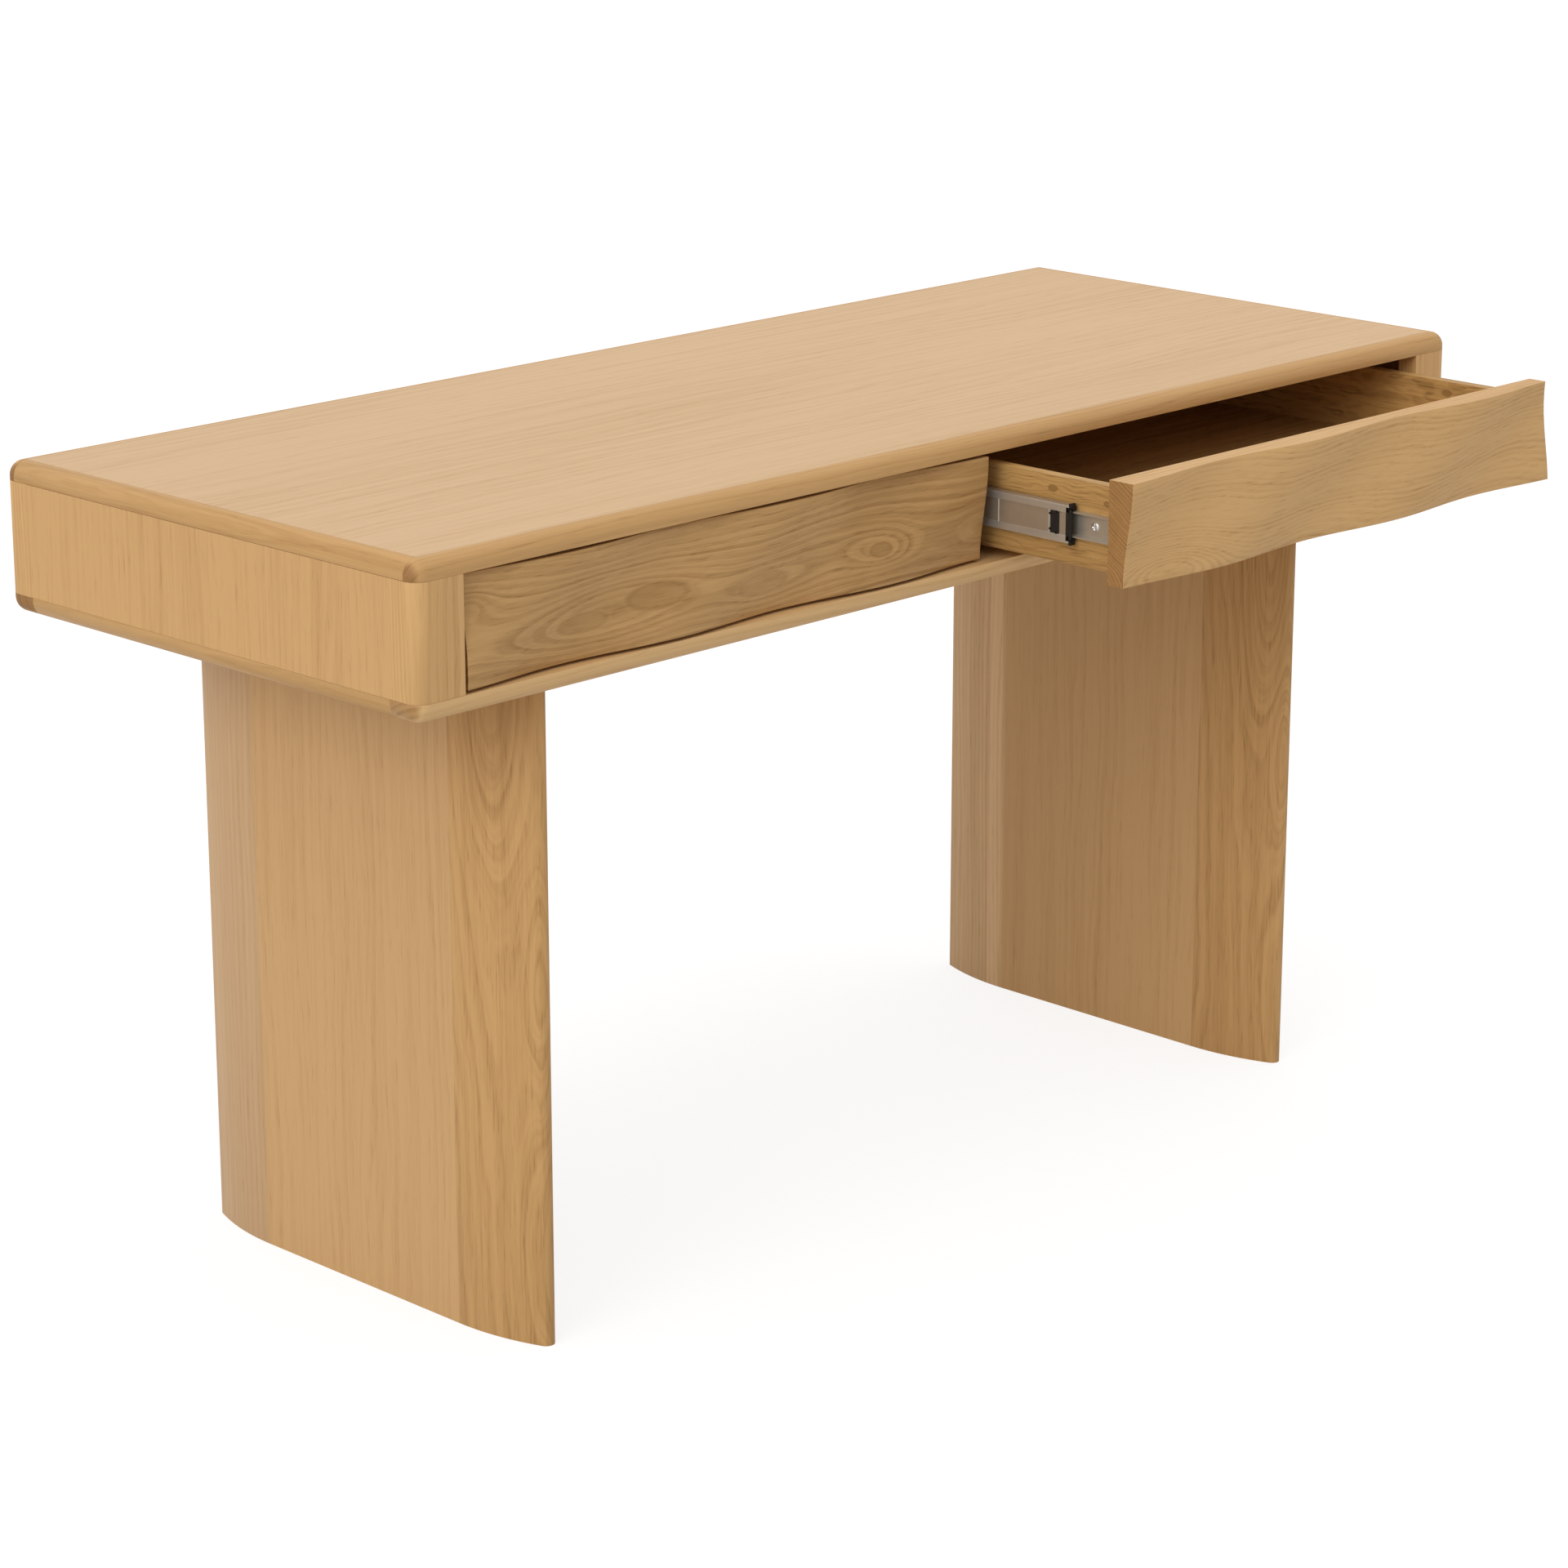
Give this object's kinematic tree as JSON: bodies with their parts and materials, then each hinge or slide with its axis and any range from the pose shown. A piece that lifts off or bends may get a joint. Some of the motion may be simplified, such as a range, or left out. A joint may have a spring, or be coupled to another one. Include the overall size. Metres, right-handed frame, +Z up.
{
  "type": "kneehole desk",
  "caption": "Rectangular oak kneehole desk with a rounded shallow case on lens-section slab legs and wave-fronted drawers that slide out on ball-bearing runners.",
  "frame": {"origin": "on the floor, midway between the two legs in width and depth", "axes": "+X to the sitter's right along the desk's width, +Y from the sitter to the back, +Z up"},
  "size_m": [1.4, 0.73, 0.76],
  "materials": {
    "oak_veneer": "matte clear lacquer on oak veneer",
    "oak_solid": "matte clear lacquer on solid oak",
    "oak_leg": "matte clear lacquer on oak",
    "oak_drawer_front": "matte clear lacquer on figured solid oak",
    "oak_drawer_box": "thin lacquer on solid oak",
    "oak_inner": "unfinished oak",
    "zinc_steel": "zinc plated",
    "fastener_steel": "zinc plated",
    "black_plastic": "moulded matte"
  },
  "bodies": {
    "desk": {"back_panel": "oak_veneer", "bottom_back_lipping": "oak_solid", "bottom_front_lipping": "oak_solid", "bottom_left_lipping": "oak_solid", "bottom_panel": "oak_veneer", "bottom_right_lipping": "oak_solid", "centre_divider": "oak_inner", "left_back_post": "oak_solid", "left_drawer_left_runner": "zinc_steel", "left_drawer_right_runner": "zinc_steel", "left_end_panel": "oak_veneer", "left_front_post": "oak_solid", "left_leg_back_edge": "oak_leg", "left_leg_core": "oak_leg", "left_leg_front_edge": "oak_leg", "left_slide_packer": "oak_inner", "leg_bolts": "fastener_steel", "leg_inserts": "fastener_steel", "right_back_post": "oak_solid", "right_drawer_left_runner": "zinc_steel", "right_drawer_right_runner": "zinc_steel", "right_end_panel": "oak_veneer", "right_front_post": "oak_solid", "right_leg_back_edge": "oak_leg", "right_leg_core": "oak_leg", "right_leg_front_edge": "oak_leg", "right_slide_packer": "oak_inner", "runner_screws": "zinc_steel", "top_back_lipping": "oak_solid", "top_front_lipping": "oak_solid", "top_left_lipping": "oak_solid", "top_panel": "oak_veneer", "top_right_lipping": "oak_solid"},
    "left_drawer": {"left_drawer_front": "oak_drawer_front", "left_drawer_left_side": "oak_drawer_box", "left_drawer_right_side": "oak_drawer_box", "left_drawer_back": "oak_drawer_box", "left_drawer_bottom": "oak_drawer_box", "left_drawer_left_bar": "zinc_steel", "left_drawer_right_bar": "zinc_steel", "left_drawer_screws": "zinc_steel"},
    "left_slide_middles": {"left_drawer_left_middle": "zinc_steel", "left_drawer_right_middle": "zinc_steel", "left_slide_bumpers": "black_plastic"},
    "left_outer_cages": {"left_outer_ball_cages": "zinc_steel"},
    "left_inner_cages": {"left_inner_ball_cages": "zinc_steel"},
    "right_drawer": {"right_drawer_front": "oak_drawer_front", "right_drawer_left_side": "oak_drawer_box", "right_drawer_right_side": "oak_drawer_box", "right_drawer_back": "oak_drawer_box", "right_drawer_bottom": "oak_drawer_box", "right_drawer_left_bar": "zinc_steel", "right_drawer_right_bar": "zinc_steel", "right_drawer_screws": "zinc_steel"},
    "right_slide_middles": {"right_drawer_left_middle": "zinc_steel", "right_drawer_right_middle": "zinc_steel", "right_slide_bumpers": "black_plastic"},
    "right_outer_cages": {"right_outer_ball_cages": "zinc_steel"},
    "right_inner_cages": {"right_inner_ball_cages": "zinc_steel"}
  },
  "joints": [
    {"name": "left_drawer_slide", "type": "slide", "parent": "desk", "child": "left_drawer", "axis": [0, -1, 0], "range_m": [0, 0.38]},
    {"name": "left_slide_middles_slide", "type": "slide", "parent": "desk", "child": "left_slide_middles", "axis": [0, -1, 0], "range_m": [0, 0.266]},
    {"name": "left_outer_cages_slide", "type": "slide", "parent": "desk", "child": "left_outer_cages", "axis": [0, -1, 0], "range_m": [0, 0.133]},
    {"name": "left_inner_cages_slide", "type": "slide", "parent": "desk", "child": "left_inner_cages", "axis": [0, -1, 0], "range_m": [0, 0.323]},
    {"name": "right_drawer_slide", "type": "slide", "parent": "desk", "child": "right_drawer", "axis": [0, -1, 0], "range_m": [-0.17, 0.21]},
    {"name": "right_slide_middles_slide", "type": "slide", "parent": "desk", "child": "right_slide_middles", "axis": [0, -1, 0], "range_m": [-0.119, 0.147]},
    {"name": "right_outer_cages_slide", "type": "slide", "parent": "desk", "child": "right_outer_cages", "axis": [0, -1, 0], "range_m": [-0.0595, 0.0735]},
    {"name": "right_inner_cages_slide", "type": "slide", "parent": "desk", "child": "right_inner_cages", "axis": [0, -1, 0], "range_m": [-0.1445, 0.1785]}
  ],
  "couplings": [
    {"joint": "left_slide_middles_slide", "follows": "left_drawer_slide", "ratio": 0.7},
    {"joint": "left_outer_cages_slide", "follows": "left_drawer_slide", "ratio": 0.35},
    {"joint": "left_inner_cages_slide", "follows": "left_drawer_slide", "ratio": 0.85},
    {"joint": "right_slide_middles_slide", "follows": "right_drawer_slide", "ratio": 0.7},
    {"joint": "right_outer_cages_slide", "follows": "right_drawer_slide", "ratio": 0.35},
    {"joint": "right_inner_cages_slide", "follows": "right_drawer_slide", "ratio": 0.85}
  ]
}
